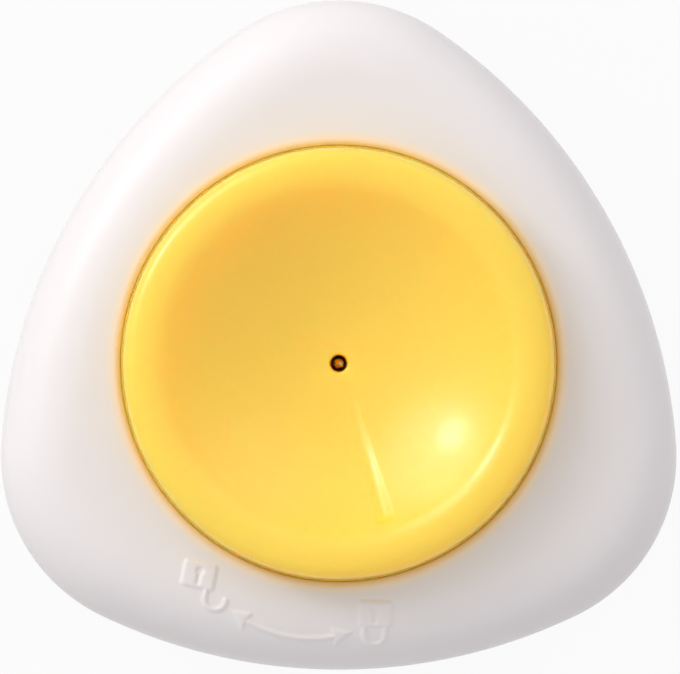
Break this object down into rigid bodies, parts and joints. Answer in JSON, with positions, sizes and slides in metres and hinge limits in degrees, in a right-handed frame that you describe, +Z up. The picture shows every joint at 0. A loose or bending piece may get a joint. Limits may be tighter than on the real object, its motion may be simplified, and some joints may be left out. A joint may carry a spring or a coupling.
{
  "type": "egg piercer",
  "caption": "Rounded-triangle egg piercer: a sprung yellow cup slides down past a fixed needle, and turns between an open and a locked mark.",
  "frame": {"origin": "on the needle's axis, in the plane the piercer stands on", "axes": "+Z up along the needle, +Y towards the corner opposite the moulded marks, +X to the right of someone facing the marks"},
  "size_m": [0.066, 0.0655, 0.033],
  "materials": {
    "white_gloss": "gloss",
    "yellow_gloss": "gloss",
    "acetal": "satin",
    "steel": "bright",
    "magnet": "plated",
    "rubber": "matte"
  },
  "bodies": {
    "casing": {"shell": "white_gloss", "lock_collar": "acetal", "collar_screws": "steel", "detent_spring": "steel", "return_spring": "steel", "needle_post": "acetal", "post_screws": "steel", "needle": "steel", "base_cover": "white_gloss", "cover_screws": "steel", "magnet": "magnet", "magnet_pad": "rubber", "foot_strip_1": "rubber", "foot_strip_2": "rubber", "foot_strip_3": "rubber"},
    "washer": {"thrust_washer": "acetal"},
    "cup": {"press_cup": "yellow_gloss", "cup_carrier": "acetal", "carrier_screws": "steel"}
  },
  "joints": [
    {"name": "cup_press", "type": "slide", "parent": "casing", "child": "washer", "axis": [0, 0, 1], "range_m": [-0.005, 0], "stiffness_N_per_m": 400, "springref_m": 0.004, "deforming": ["return_spring"]},
    {"name": "cup_turn", "type": "hinge", "parent": "washer", "child": "cup", "pos_m": [0, 0, 0.0228], "axis": [0, 0, 1], "range_deg": [-49.9, 0], "deforming": ["detent_spring"]}
  ]
}
